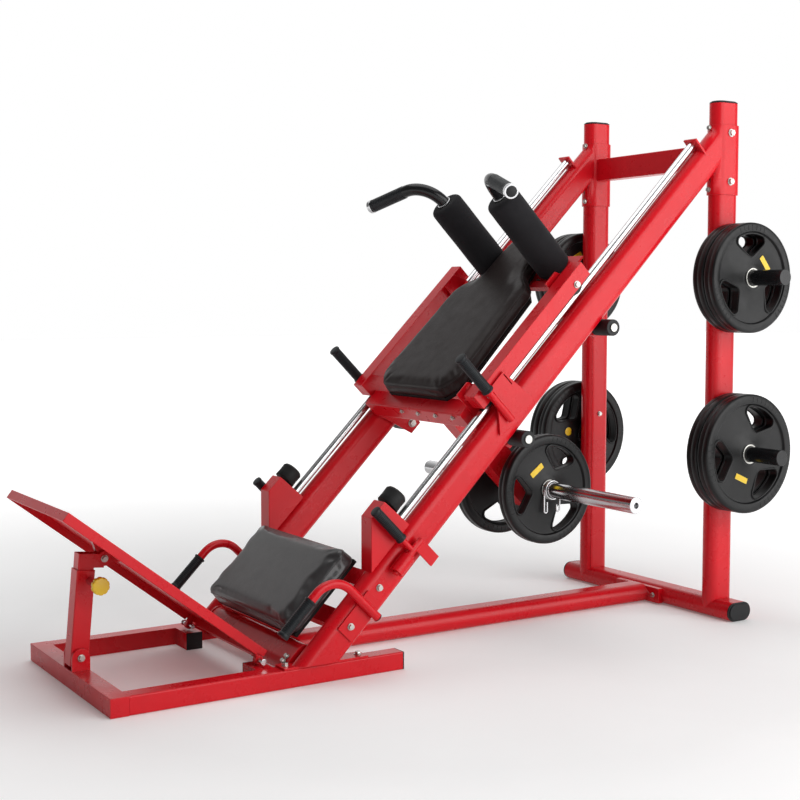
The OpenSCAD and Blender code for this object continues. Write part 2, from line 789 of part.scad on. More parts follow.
// chrome rings where the handles leave the rollers and end caps of the handles
module handle_ends() color(chrome) placed() both_sides() on_rail(shoulder_u, shoulder_gauge / 2, 0) {
    difference() {
        translate([0, 0, shoulder_n + roller_len + 1]) cylinder(r = handle_r + 4, h = 6);
        translate([0, 0, shoulder_n + roller_len]) cylinder(r = handle_r + 0.6, h = 9);
    }
    translate([0, 0, handle_n]) rotate([0, 0, 90 + handle_turn]) translate([handle_reach, 0, 0])
        rotate([0, 90, 0]) cylinder(r = handle_r + 2.5, h = 12);
}

// wheel with a round groove that straddles the guide rod
module grooved_wheel() difference() {
    rod_y(wheel_rim, -wheel_half, wheel_half);
    rotate([90, 0, 0]) rotate_extrude()
        translate([wheel_root + rod_r + wheel_gap, 0]) circle(rod_r + wheel_gap);
    rod_y(wheel_axle_r + run_fit, -wheel_half - 1, wheel_half + 1);
}

module guide_wheel_pair(u) placed() both_sides() on_rail(u, half_gauge, wheel_n) grooved_wheel();

module guide_wheels_lower() color(black) guide_wheel_pair(u_wheel_lo);
module guide_wheels_upper() color(black) guide_wheel_pair(u_wheel_hi);

module under_wheel_pair(u) placed() both_sides() on_rail(u, 0, under_n) difference() {
    rod_y(under_r, in_y + 3, out_y + 18);
    rod_y(under_axle_r + run_fit, in_y, out_y + 20);
}

module under_wheels_lower() color(black) under_wheel_pair(u_wheel_lo);
module under_wheels_upper() color(black) under_wheel_pair(u_wheel_hi);

// horns for the plates, with a stop ring inside and an open end outside
module weight_horns() color(chrome) placed() both_sides() on_rail(u_horn, 0, n_horn) difference() {
    union() {
        rod_y(horn_r, 26, clip_y1 + 4);
        rod_y(peg_r, clip_y1 + 3, horn_end);
        rod_y(35, 84, 92);
    }
    rod_y(9, horn_end - 30, horn_end + 1);
}

clip_y0 = 144;
clip_y1 = 162;
clip_wire = 3;

// axes level with the floor, at the middle of the horns
module on_horn() placed() on_rail(u_horn, 0, n_horn) rotate([0, 45, 0]) children();

module horn_plate(turn) translate([0, horn_plate_y, 0])
    weight_plate(plate_horn_r, horn_plate_t, horn_r + 0.5, turn);

module horn_plate_left() color(black) on_horn() horn_plate(20);
module horn_plate_right() color(black) on_horn() mirror([0, 1, 0]) horn_plate(66);

// spring clip on the horn: its coil as a ring, with two squeeze handles below
module spring_clip() {
    difference() {
        rod_y(horn_r + 6.5, clip_y0, clip_y1);
        rod_y(horn_r + 0.4, clip_y0 - 1, clip_y1 + 1);
    }
    translate([-24, clip_y0 + 5, -75]) cylinder(r = clip_wire, h = 57);
    translate([8, clip_y1 - 5, -75]) cylinder(r = clip_wire, h = 47);
}

module spring_clip_left() color(chrome) on_horn() spring_clip();
module spring_clip_right() color(chrome) on_horn() mirror([0, 1, 0]) spring_clip();

front_cross_tube();
base_tube_left();
base_tube_right();
centre_base_tube();
seat_cross_tube();
rear_cross_tube();
tube_caps();
upright_left();
upright_right();
top_cross_beam();
rail_left();
rail_right();
guide_rods();
bumper_brackets();
bumpers();
frame_bolts();
seat_frame();
seat_board();
seat_pad();
seat_handles();
seat_grips();
storage_pegs();
plates_upper_left();
plates_upper_right();
plates_lower_left();
plates_lower_right();
lever_barrels();
lever_left();
lever_right();
lever_grip_left();
lever_grip_right();
foot_hinge_pins();
foot_plate();
foot_rib();
post_outer();
post_inner();
post_pin();
pop_pin_body();
pop_pin_knob();
carriage_channels();
carriage_wraps();
carriage_frame();
carriage_hangers();
carriage_bolts();
carriage_grips();
back_board();
back_pad();
headrest();
shoulder_handles();
shoulder_rollers();
handle_ends();
guide_wheels_lower();
guide_wheels_upper();
under_wheels_lower();
under_wheels_upper();
weight_horns();
horn_plate_left();
horn_plate_right();
spring_clip_left();
spring_clip_right();
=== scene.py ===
"""Looks of a plate-loaded leg press machine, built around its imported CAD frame.

+X runs from the foot plate to the uprights, +Y is the user's left, +Z is up, in metres.
Most measures are read from the CAD nodes: extent() gives a node's box along any three axes.
"""

import json
import math

import bmesh
import bpy
from mathutils import Matrix, Vector
from mathutils.bvhtree import BVHTree


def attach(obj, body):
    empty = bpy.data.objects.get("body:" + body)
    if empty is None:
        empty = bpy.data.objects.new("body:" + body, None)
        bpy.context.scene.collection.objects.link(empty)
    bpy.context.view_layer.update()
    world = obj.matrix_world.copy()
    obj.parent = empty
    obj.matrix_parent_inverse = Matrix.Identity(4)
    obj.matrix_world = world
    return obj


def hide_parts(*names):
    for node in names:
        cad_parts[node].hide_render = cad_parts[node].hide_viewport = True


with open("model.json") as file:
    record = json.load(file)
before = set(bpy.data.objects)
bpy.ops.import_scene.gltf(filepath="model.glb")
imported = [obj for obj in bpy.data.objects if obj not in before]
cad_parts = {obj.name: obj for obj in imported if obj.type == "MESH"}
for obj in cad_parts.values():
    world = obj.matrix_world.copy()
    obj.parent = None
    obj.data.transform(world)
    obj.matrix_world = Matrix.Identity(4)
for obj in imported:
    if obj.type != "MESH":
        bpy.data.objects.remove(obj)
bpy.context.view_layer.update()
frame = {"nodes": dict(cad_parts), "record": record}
NODES = frame["nodes"]
BODY = {node: body
        for body, nodes in frame["record"]["behaviour"]["bodies"].items() for node in nodes}
SLOT = {part["node"]: part["material_slot"] for part in frame["record"]["subparts"]}
MM = 0.001
LEFT, RIGHT = 1, -1
SIDES = ((LEFT, "left"), (RIGHT, "right"))
THIRD_TURN = 2 * math.pi / 3

# axes of the 45 degree rails: along them, across the machine, square to them
DIAGONAL = math.sqrt(0.5)
RAIL = Matrix(((DIAGONAL, 0, -DIAGONAL), (0, 1, 0), (DIAGONAL, 0, DIAGONAL)))
LEVEL = Matrix.Identity(3)
UP_RAIL, OUT_OF_RAIL = RAIL.col[0], RAIL.col[2]


def extent(node, axes=LEVEL, side=0):
    """Lowest and highest corner of a CAD node along the columns of axes, on one side of the machine."""
    back = axes.transposed()
    points = [back @ v.co for v in NODES[node].data.vertices if v.co.y * side >= 0]
    low = Vector([min(p[i] for p in points) for i in range(3)])
    high = Vector([max(p[i] for p in points) for i in range(3)])
    return low, high


# ---- camera, lights and floor ----

def camera():
    """Three-quarter view from the front right, slightly above the middle of the machine."""
    look_down, turned_right = 3.68, 31.78
    data = bpy.data.cameras.new("camera")
    data.lens = 60.69
    data.sensor_width = 36
    data.shift_x = 0.0228
    data.shift_y = -0.0164
    data.clip_end = 60
    obj = bpy.data.objects.new("camera", data)
    obj.location = (-2.2432, -3.4449, 1.0302)
    obj.rotation_euler = (math.radians(90 - look_down), 0, math.radians(-turned_right))
    bpy.context.scene.collection.objects.link(obj)
    bpy.context.scene.camera = obj


def area_light(name, place, target, size, watts):
    """Soft rectangular light at place, turned to target."""
    data = bpy.data.lights.new(name, "AREA")
    data.shape = "RECTANGLE"
    data.size, data.size_y = size
    data.energy = watts
    obj = bpy.data.objects.new(name, data)
    obj.location = place
    obj.rotation_euler = (Vector(target) - Vector(place)).to_track_quat("-Z", "Y").to_euler()
    bpy.context.scene.collection.objects.link(obj)


def surroundings():
    """White behind the machine and dim behind the camera, as in a photo studio."""
    behind_machine = (0.527, 0.850, 0)
    # places on the way from behind the camera (0) to behind the machine (1), and their brightness
    shades = ((0.0, 0.12), (0.7, 0.22), (0.92, 1.0))
    world = bpy.data.worlds.new("studio")
    world.use_nodes = True
    tree = world.node_tree
    direction = tree.nodes.new("ShaderNodeTexCoord")
    toward = tree.nodes.new("ShaderNodeVectorMath")
    toward.operation = "DOT_PRODUCT"
    toward.inputs[1].default_value = behind_machine
    level = tree.nodes.new("ShaderNodeValToRGB")
    level.color_ramp.elements.new(0.25)
    for stop, (place, value) in zip(level.color_ramp.elements, shades):
        stop.position = place
        stop.color = (value, value, value, 1)
    shift = tree.nodes.new("ShaderNodeMapRange")
    shift.inputs["From Min"].default_value = -1
    tree.links.new(direction.outputs["Generated"], toward.inputs[0])
    tree.links.new(toward.outputs["Value"], shift.inputs["Value"])
    tree.links.new(shift.outputs["Result"], level.inputs["Fac"])
    tree.links.new(level.outputs["Color"], tree.nodes["Background"].inputs["Color"])
    bpy.context.scene.world = world


def floor_finish():
    """Pale matt floor with painted light: it glows faintly near the machine and more away from it, so
    it fades into the white surroundings.
    """
    fade_start, fade_end = 1.2, 5.0
    glow_near, glow_far = 0.1, 0.9
    material = surface("pale_floor", (0.86, 0.86, 0.86), rough=(0.6, 0.7), mottle=0.02,
                       mottle_scale=1.5, specular=0.1)
    tree = material.node_tree
    shader = tree.nodes["Principled BSDF"]
    place = tree.nodes.new("ShaderNodeTexCoord")
    reach = tree.nodes.new("ShaderNodeVectorMath")
    reach.operation = "LENGTH"
    painted_glow = tree.nodes.new("ShaderNodeMapRange")
    painted_glow.inputs["From Min"].default_value = fade_start
    painted_glow.inputs["From Max"].default_value = fade_end
    painted_glow.inputs["To Min"].default_value = glow_near
    painted_glow.inputs["To Max"].default_value = glow_far
    tree.links.new(place.outputs["Object"], reach.inputs[0])
    tree.links.new(reach.outputs["Value"], painted_glow.inputs["Value"])
    # painted light: the floor's glow grows with the distance from the machine
    tree.links.new(painted_glow.outputs["Result"], shader.inputs["Emission Strength"])
    shader.inputs["Emission Color"].default_value = (1, 1, 1, 1)
    return material


def studio():
    """Pale floor, white surroundings and large soft lights."""
    area_light("key_light", (2.4, -5.2, 2.5), (0.1, 0, 0.7), (7.0, 4.6), 330)
    area_light("top_light", (0.2, 0.2, 4.6), (0, 0, 0.6), (4.2, 3.4), 85)
    surroundings()
    bpy.context.scene.view_settings.view_transform = "Standard"
    half, clearance = 30, 0.5 * MM
    mesh = bpy.data.meshes.new("floor")
    corners = [(-half, -half, 0), (half, -half, 0), (half, half, 0), (-half, half, 0)]
    mesh.from_pydata(corners, [], [(0, 1, 2, 3)])
    floor = bpy.data.objects.new("floor", mesh)
    floor.location.z = -clearance
    bpy.context.scene.collection.objects.link(floor)
    mesh.materials.append(floor_finish())


# ---- materials ----

def surface(name, color, rough, metallic=0.0, coat=0.0, mottle=0.06, mottle_scale=9.0, grain=0.0,
            grain_scale=700.0, pebble=0.0, pebble_scale=420.0, edge=None, sheen=0.0, specular=0.5):
    """A finish with broad colour variation, uneven gloss, fine relief and lighter edges, partly rubbed
    wear and partly a painted highlight.
    """
    material = bpy.data.materials.new(name)
    material.use_nodes = True
    tree = material.node_tree
    shader = tree.nodes["Principled BSDF"]
    shader.inputs["Metallic"].default_value = metallic
    shader.inputs["Coat Weight"].default_value = coat
    shader.inputs["Coat Roughness"].default_value = 0.06
    shader.inputs["Sheen Weight"].default_value = sheen
    shader.inputs["Sheen Roughness"].default_value = 0.4
    shader.inputs["Specular IOR Level"].default_value = specular

    def node(kind, **values):
        made = tree.nodes.new(kind)
        for key, value in values.items():
            if hasattr(made, key):
                setattr(made, key, value)
            else:
                made.inputs[key.replace("_", " ")].default_value = value
        return made

    place = node("ShaderNodeTexCoord").outputs["Object"]
    broad = node("ShaderNodeTexNoise", Scale=mottle_scale, Detail=4.0, Roughness=0.6)
    tree.links.new(place, broad.inputs["Vector"])
    ramp = node("ShaderNodeValToRGB")
    ramp.color_ramp.elements[0].position = 0.3
    ramp.color_ramp.elements[1].position = 0.7
    ramp.color_ramp.elements[0].color = (*[c * (1 - mottle) for c in color], 1)
    ramp.color_ramp.elements[1].color = (*[min(1, c * (1 + mottle)) for c in color], 1)
    tree.links.new(broad.outputs["Fac"], ramp.inputs["Fac"])
    tint = ramp.outputs["Color"]

    smudge = node("ShaderNodeTexNoise", Scale=mottle_scale * 2.7, Detail=5.0, Roughness=0.65)
    tree.links.new(place, smudge.inputs["Vector"])
    gloss = node("ShaderNodeMapRange", From_Min=0.3, From_Max=0.7, To_Min=rough[0], To_Max=rough[1])
    tree.links.new(smudge.outputs["Fac"], gloss.inputs["Value"])
    tree.links.new(gloss.outputs["Result"], shader.inputs["Roughness"])

    if edge:
        wear_and_highlight_color, edge_radius = edge
        # cosines between a face and its rounded normal: where the lighter edge (wear and painted
        # highlight) begins, and where it is full
        wear_and_highlight_begins, wear_and_highlight_full = 0.995, 0.86
        rounded_normal = node("ShaderNodeBevel", samples=3, Radius=edge_radius)
        facing = node("ShaderNodeNewGeometry")
        dot = node("ShaderNodeVectorMath", operation="DOT_PRODUCT")
        tree.links.new(rounded_normal.outputs["Normal"], dot.inputs[0])
        tree.links.new(facing.outputs["Normal"], dot.inputs[1])
        edge_wear_and_highlight = node("ShaderNodeMapRange", From_Min=wear_and_highlight_begins, From_Max=wear_and_highlight_full, To_Min=0.0,
                    To_Max=1.0)
        tree.links.new(dot.outputs["Value"], edge_wear_and_highlight.inputs["Value"])
        edge_breakup = node("ShaderNodeTexNoise", Scale=130.0, Detail=6.0, Roughness=0.7)
        tree.links.new(place, edge_breakup.inputs["Vector"])
        patchy_wear_and_highlight = node("ShaderNodeMath", operation="MULTIPLY")
        tree.links.new(edge_wear_and_highlight.outputs["Result"], patchy_wear_and_highlight.inputs[0])
        tree.links.new(edge_breakup.outputs["Fac"], patchy_wear_and_highlight.inputs[1])
        # painted highlight together with wear: the edge colour lightens the base colour along rounded
        # edges
        mix = node("ShaderNodeMix", data_type="RGBA")
        tree.links.new(patchy_wear_and_highlight.outputs["Value"], mix.inputs["Factor"])
        plain, rubbed_and_highlit = [socket for socket in mix.inputs if socket.type == "RGBA"]
        rubbed_and_highlit.default_value = (*wear_and_highlight_color, 1)
        tree.links.new(tint, plain)
        tint = [socket for socket in mix.outputs if socket.type == "RGBA"][0]
    tree.links.new(tint, shader.inputs["Base Color"])

    relief = None
    if grain:
        fine = node("ShaderNodeTexNoise", Scale=grain_scale, Detail=3.0, Roughness=0.55)
        tree.links.new(place, fine.inputs["Vector"])
        relief = node("ShaderNodeBump", Strength=grain, Distance=0.0004)
        tree.links.new(fine.outputs["Fac"], relief.inputs["Height"])
    if pebble:
        cells = node("ShaderNodeTexVoronoi", feature="DISTANCE_TO_EDGE", Scale=pebble_scale)
        tree.links.new(place, cells.inputs["Vector"])
        soft = node("ShaderNodeMapRange", From_Min=0.0, From_Max=0.22, To_Min=0.0, To_Max=1.0)
        tree.links.new(cells.outputs["Distance"], soft.inputs["Value"])
        pebbled = node("ShaderNodeBump", Strength=pebble, Distance=0.0005)
        tree.links.new(soft.outputs["Result"], pebbled.inputs["Height"])
        if relief:
            tree.links.new(relief.outputs["Normal"], pebbled.inputs["Normal"])
        relief = pebbled
    if relief:
        tree.links.new(relief.outputs["Normal"], shader.inputs["Normal"])
    return material


def finishes():
    """One material for each slot of the record."""
    return {
        # each edge colour is a lighter shade of its base: worn edges plus a painted highlight along
        # them
        "red_paint": surface(
            "red_powder_coat", (0.58, 0.004, 0.011), rough=(0.24, 0.34), mottle=0.06, mottle_scale=5,
            grain=0.05, grain_scale=520, edge=((0.66, 0.02, 0.028), 0.0014), specular=0.3),
        "black_paint": surface(
            "black_powder_coat", (0.008, 0.008, 0.009), rough=(0.2, 0.3), coat=0.15, grain=0.05,
            grain_scale=520, edge=((0.04, 0.04, 0.042), 0.0012), specular=0.25),
        "black_plastic": surface(
            "moulded_black_plastic", (0.010, 0.010, 0.011), rough=(0.42, 0.55), grain=0.22,
            grain_scale=1100, edge=((0.04, 0.04, 0.04), 0.001), specular=0.3),
        "chrome": surface(
            "polished_chrome", (0.6, 0.6, 0.61), rough=(0.17, 0.22), metallic=1.0, mottle=0.03,
            mottle_scale=5, grain=0.006, grain_scale=300),
        "bolt_steel": surface(
            "zinc_plated_steel", (0.5, 0.49, 0.46), rough=(0.26, 0.44), metallic=1.0, mottle=0.14,
            mottle_scale=60, grain=0.12, edge=((0.75, 0.74, 0.7), 0.0008)),
        # the seat vinyl is a lighter, plainer grey than the back vinyl: partly its own tone, partly a
        # painted reflection of the light on the seat's top
        "seat_vinyl": surface(
            "seat_vinyl", (0.026, 0.025, 0.026), rough=(0.32, 0.42), mottle=0.1, grain=0.1,
            grain_scale=900, pebble=0.16, pebble_scale=520, coat=0.3),
        "back_vinyl": surface(
            "back_vinyl", (0.015, 0.0095, 0.009), rough=(0.36, 0.48), mottle=0.12, grain=0.1,
            grain_scale=900, pebble=0.14, pebble_scale=520, specular=0.22),
        "pad_board": surface(
            "backing_board", (0.009, 0.009, 0.009), rough=(0.6, 0.75), grain=0.3, specular=0.2),
        "grip_rubber": surface(
            "grip_rubber", (0.009, 0.011, 0.013), rough=(0.36, 0.5), grain=0.2, grain_scale=900,
            edge=((0.035, 0.042, 0.046), 0.0007), specular=0.25),
        "bumper_rubber": surface(
            "bumper_rubber", (0.009, 0.009, 0.009), rough=(0.5, 0.66), grain=0.25, specular=0.25),
        "plate_rubber": surface(
            "plate_rubber", (0.0035, 0.0035, 0.0038), rough=(0.32, 0.46), mottle=0.15,
            mottle_scale=14, grain=0.16, grain_scale=850, edge=((0.03, 0.031, 0.033), 0.0014),
            specular=0.3),
        "foam": surface(
            "closed_cell_foam", (0.014, 0.0135, 0.015), rough=(0.82, 0.94), mottle=0.16, grain=0.5,
            grain_scale=1300, sheen=0.06, specular=0.12),
        "yellow_plastic": surface(
            "yellow_plastic", (0.75, 0.5, 0.01), rough=(0.28, 0.4), grain=0.08,
            edge=((0.9, 0.7, 0.2), 0.001)),
    }


MATERIALS = finishes()


# ---- mesh helpers ----

def to_object(name, mesh, node, slot=None):
    """Names a finished mesh, gives it its finish and lets it ride with the CAD node's body."""
    obj = bpy.data.objects.new(name, mesh)
    bpy.context.scene.collection.objects.link(obj)
    slot = slot or SLOT[node]
    mesh.materials.clear()
    mesh.materials.append(MATERIALS[slot])
    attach(obj, BODY[node])
    return obj


def smooth(mesh, angle=38):
    """Shades the mesh smooth, except where faces meet at more than angle degrees."""
    mesh.polygons.foreach_set("use_smooth", [True] * len(mesh.polygons))
    mesh.set_sharp_from_angle(angle=math.radians(angle))
    mesh.update()


def baked(obj):
    """The mesh of obj with its modifiers in it."""
    depsgraph = bpy.context.evaluated_depsgraph_get()
    mesh = bpy.data.meshes.new_from_object(obj.evaluated_get(depsgraph), depsgraph=depsgraph)
    bpy.data.objects.remove(obj)
    return mesh


# an edge longer than this belongs to a part's own outline, not to a cut-out or a cap
LONG_EDGE = 0.12
# a fold is sharper than this, and an edge that is rounded is sharper than the second
INNER_FOLD, OUTER_FOLD = math.radians(5), math.radians(32)


def weigh_edges(bm, narrow):
    """Full rounding for long outer edges, and a share of it for short ones and at inner corners."""
    at_inner_corner = 0.12
    weight = bm.edges.layers.float.new("bevel_weight_edge")
    inner = {v for e in bm.edges for v in e.verts
             if len(e.link_faces) == 2 and not e.is_convex and e.calc_face_angle(0) > INNER_FOLD}
    for e in bm.edges:
        if len(e.link_faces) != 2 or not e.is_convex or e.calc_face_angle(0) < OUTER_FOLD:
            continue
        if inner.intersection(e.verts):
            e[weight] = at_inner_corner
        else:
            e[weight] = 1.0 if e.calc_length() > LONG_EDGE else narrow


def rounded_copy(node, width, narrow):
    """The CAD node's mesh with rounded outer edges, by width and by its share narrow."""
    mesh = NODES[node].data.copy()
    bm = bmesh.new()
    bm.from_mesh(mesh)
    bmesh.ops.remove_doubles(bm, verts=bm.verts, dist=0.005 * MM)
    bmesh.ops.dissolve_limit(bm, angle_limit=math.radians(0.6), verts=bm.verts, edges=bm.edges)
    weigh_edges(bm, narrow)
    bm.to_mesh(mesh)
    bm.free()
    if mesh.has_custom_normals:
        mesh.normals_split_custom_set([(0, 0, 0)] * len(mesh.loops))
    smooth(mesh)
    obj = bpy.data.objects.new("scratch", mesh)
    bpy.context.scene.collection.objects.link(obj)
    bevel = obj.modifiers.new("bevel", "BEVEL")
    bevel.width = width
    bevel.segments = 3
    bevel.limit_method = "WEIGHT"
    bevel.use_clamp_overlap = False
    bevel.miter_outer = "MITER_SHARP"
    weighted = obj.modifiers.new("weighted", "WEIGHTED_NORMAL")
    weighted.keep_sharp = True
    return baked(obj)


def skin(node, width, narrow):
    """Stands for a hard CAD node, with its edges rounded as folded, welded or moulded ones are."""
    piece = to_object(f"{node}_finished", rounded_copy(node, width, narrow), node)
    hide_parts(node)


def lathe(profile, segments=72):
    """Closed mesh turned about Z from (radius, height) points.

    The profile starts and ends on the axis, or else closes on itself and leaves a bore.
    """
    bm = bmesh.new()
    on_axis = 1e-6
    closed = profile[0][0] > on_axis
    turn = 2 * math.pi / segments
    rings = []
    for radius, height in profile:
        if radius < on_axis:
            rings.append([bm.verts.new((0, 0, height))])
            continue
        rings.append([
            bm.verts.new((radius * math.cos(k * turn), radius * math.sin(k * turn), height))
            for k in range(segments)])
    pairs = list(zip(rings, rings[1:])) + ([(rings[-1], rings[0])] if closed else [])
    for low, high in pairs:
        for k in range(segments):
            after = (k + 1) % segments
            corners = [low[k % len(low)], low[after % len(low)],
                       high[after % len(high)], high[k % len(high)]]
            bm.faces.new(list(dict.fromkeys(corners)))
    bmesh.ops.recalc_face_normals(bm, faces=bm.faces)
    mesh = bpy.data.meshes.new("lathe")
    bm.to_mesh(mesh)
    bm.free()
    smooth(mesh)
    return mesh


def fillet(corner, radius, start, end, steps=6):
    """Points of an arc about corner, from start to end in degrees."""
    turns = [math.radians(start + (end - start) * k / steps) for k in range(steps + 1)]
    return [(corner[0] + radius * math.cos(t), corner[1] + radius * math.sin(t)) for t in turns]


def standing(place, direction):
    """Matrix that puts a piece's Z along direction at place."""
    z = Vector(direction).normalized()
    x = Vector((0, 0, 1)).cross(z)
    x = x.normalized() if x.length > 1e-6 else Vector((1, 0, 0))
    y = z.cross(x)
    turned = Matrix((x, y, z)).transposed().to_4x4()
    turned.translation = Vector(place)
    return turned


def joined(meshes):
    """One mesh from several (mesh, matrix) pairs."""
    bm = bmesh.new()
    for mesh, matrix in meshes:
        part = mesh.copy()
        part.transform(matrix)
        if matrix.determinant() < 0:
            part.flip_normals()
        bm.from_mesh(part)
        bpy.data.meshes.remove(part)
    whole = bpy.data.meshes.new("joined")
    bm.to_mesh(whole)
    bm.free()
    smooth(whole)
    return whole


def round_bar(points, radius, cyclic=False, resolution=10):
    """Round bar or wire through points."""
    curve = bpy.data.curves.new("bar", "CURVE")
    curve.dimensions = "3D"
    curve.bevel_depth = radius
    curve.bevel_resolution = resolution // 2
    curve.use_fill_caps = True
    spline = curve.splines.new("POLY")
    spline.points.add(len(points) - 1)
    for point, spot in zip(points, spline.points):
        spot.co = (*point, 1)
    spline.use_cyclic_u = cyclic
    obj = bpy.data.objects.new("bar", curve)
    bpy.context.scene.collection.objects.link(obj)
    mesh = baked(obj)
    smooth(mesh, 60)
    return mesh


def rounded_outline(points, radii, steps=7):
    """A polygon's points with each corner turned into an arc."""
    outline = []
    count = len(points)
    for k, (point, radius) in enumerate(zip(points, radii)):
        corner = Vector(point)
        before = Vector(points[k - 1]) - corner
        after = Vector(points[(k + 1) % count]) - corner
        half = before.angle(after) / 2
        # two arcs on one side never meet
        reach = min(radius / math.tan(half), 0.49 * before.length, 0.49 * after.length)
        start = corner + before.normalized() * reach
        end = corner + after.normalized() * reach
        for step in range(steps + 1):
            t = step / steps
            outline.append(tuple(start * (1 - t) ** 2 + corner * 2 * t * (1 - t) + end * t ** 2))
    return outline


# ---- pads ----

def pad_form(outline, bottom, top, edge):
    """Closed block over an outline, with a full upper edge and a slighter lower one."""
    lower_share = 0.35
    bm = bmesh.new()
    low = [bm.verts.new((x, y, bottom)) for x, y in outline]
    face = bm.faces.new(low)
    lifted = bmesh.ops.extrude_face_region(bm, geom=[face])
    above = [v for v in lifted["geom"] if isinstance(v, bmesh.types.BMVert)]
    bmesh.ops.translate(bm, verts=above, vec=(0, 0, top - bottom))
    bmesh.ops.recalc_face_normals(bm, faces=bm.faces)
    for height, offset in ((top, edge), (bottom, edge * lower_share)):
        rim = [e for e in bm.edges if all(abs(v.co.z - height) < 1e-6 for v in e.verts)]
        bmesh.ops.bevel(bm, geom=rim, offset=offset, segments=5, profile=0.55, affect="EDGES")
    mesh = bpy.data.meshes.new("pad")
    bm.to_mesh(mesh)
    bm.free()
    return mesh


def remeshed(mesh, voxel):
    """The mesh rebuilt from even faces, as cloth needs it."""
    obj = bpy.data.objects.new("scratch", mesh)
    bpy.context.scene.collection.objects.link(obj)
    remesh = obj.modifiers.new("remesh", "REMESH")
    remesh.mode = "VOXEL"
    remesh.voxel_size = voxel
    return baked(obj)


def inflated(mesh, pinned_below, cap):
    """The mesh blown up as cloth, held at its base; no point moves further than cap."""
    pressure, frames = 4.0, 20
    obj = bpy.data.objects.new("scratch", mesh)
    bpy.context.scene.collection.objects.link(obj)
    held = obj.vertex_groups.new(name="held")
    held.add([v.index for v in mesh.vertices if v.co.z < pinned_below], 1.0, "REPLACE")
    cloth = obj.modifiers.new("cloth", "CLOTH")
    settings = cloth.settings
    settings.quality = 4
    settings.mass = 0.35
    settings.tension_stiffness = 22
    settings.compression_stiffness = 22
    settings.shear_stiffness = 8
    settings.bending_stiffness = 1.2
    settings.use_pressure = True
    settings.uniform_pressure_force = pressure
    settings.vertex_group_mass = "held"
    settings.effector_weights.gravity = 0
    cloth.point_cache.frame_end = frames
    scene = bpy.context.scene
    for step in range(1, frames + 1):
        scene.frame_set(step)
    depsgraph = bpy.context.evaluated_depsgraph_get()
    blown = obj.evaluated_get(depsgraph).data
    moved = [v.co.copy() for v in blown.vertices]
    scene.frame_set(1)
    obj.modifiers.remove(cloth)
    for v, target in zip(mesh.vertices, moved):
        shift = target - v.co
        if shift.length > cap:
            shift *= cap / shift.length
        v.co += shift
    bpy.data.objects.remove(obj)
    return mesh


def subdivided(mesh, relax):
    """The mesh eased by relax steps of smoothing and split once more."""
    obj = bpy.data.objects.new("scratch", mesh)
    bpy.context.scene.collection.objects.link(obj)
    ease = obj.modifiers.new("ease", "SMOOTH")
    ease.factor = 0.5
    ease.iterations = relax
    finer = obj.modifiers.new("finer", "SUBSURF")
    finer.levels = finer.render_levels = 1
    mesh = baked(obj)
    smooth(mesh, 180)
    return mesh


def seam_path(mesh, outline, height):
    """Points on the pad's side at a height, all round its outline."""
    spacing, outside, search = 5 * MM, 0.04, 0.09
    tree = BVHTree.FromPolygons([v.co for v in mesh.vertices], [p.vertices for p in mesh.polygons])
    centre = Vector([sum(p[i] for p in outline) / len(outline) for i in range(2)])
    corners = [Vector(p) for p in outline]
    path = []
    for here, after in zip(corners, corners[1:] + corners[:1]):
        steps = max(1, int((after - here).length / spacing))
        along = (after - here).normalized()
        outward = Vector((along.y, -along.x))
        if outward.dot(here - centre) < 0 and outward.dot(after - centre) < 0:
            outward = -outward
        for k in range(steps):
            spot = here + (after - here) * k / steps
            start = Vector((*(spot + outward * outside), height))
            place = tree.ray_cast(start, Vector((*-outward, 0)), search)[0]
            if place is not None:
                path.append(place)
    return path


def upholstered(name, node, also, outline, bottom, top, edge, seam_drop, cap):
    """A stuffed pad in the rails' axes, with a welt where its top panel meets its side."""
    voxel, held, relax, welt_radius = 5 * MM, 6 * MM, 5, 1.5 * MM
    mesh = remeshed(pad_form(outline, bottom, top, edge), voxel)
    mesh = inflated(mesh, bottom + held, cap)
    mesh = subdivided(mesh, relax)
    welt = round_bar(seam_path(mesh, outline, top - seam_drop), welt_radius, cyclic=True)
    placed = RAIL.to_4x4()
    mesh.transform(placed)
    welt.transform(placed)
    pad = to_object(name, mesh, node)
    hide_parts(node, *also)
    to_object(f"{name}_welt", welt, node)


def seat():
    """Seat cushion: a thick square pad with round corners."""
    low, high = extent("seat_pad", RAIL)
    trim, corner, sunk, edge = 3 * MM, 34 * MM, 2 * MM, 13 * MM
    corners = [(low.x + trim, low.y + trim), (high.x - trim, low.y + trim),
               (high.x - trim, high.y - trim), (low.x + trim, high.y - trim)]
    outline = rounded_outline(corners, [corner] * 4)
    upholstered("seat_cushion", "seat_pad", (), outline, low.z, high.z - sunk, edge, seam_drop=edge,
                cap=7 * MM)


def backrest():
    """Back pad and headrest under one cover, with a neck between them."""
    low, high = extent("back_pad", RAIL)
    head_high = extent("headrest", RAIL)[1]
    trim, sunk, edge = 3 * MM, 4 * MM, 12 * MM
    half, start = high.y - trim, low.x + trim
    neck, tip = 0.106, 0.074
    # the pad's half outline from its lower end to the headrest's tip, and the radius of each corner
    half_profile = [(start, half - 50 * MM), (start + 50 * MM, half), (low.x + 0.44, half - 24 * MM),
                    (high.x + 3 * MM, neck), (head_high.x - trim, tip)]
    radii = [0.05, 0.09, 0.07, 0.05, 0.018]
    mirrored = [(x, -y) for x, y in reversed(half_profile)]
    outline = rounded_outline(half_profile + mirrored, radii + radii[::-1])
    upholstered("back_cushion", "back_pad", ("headrest",), outline, low.z, high.z - sunk, edge,
                seam_drop=edge, cap=6 * MM)


# ---- turned pieces ----

def turned(name, node, parts, slot=None, replace=True, segments=72):
    """Lathed copies of one profile, each at its own matrix, as one piece."""
    whole = joined([(lathe(profile, segments), matrix) for profile, matrix in parts])
    piece = to_object(name, whole, node, slot)
    if replace:
        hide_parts(node)
    return piece


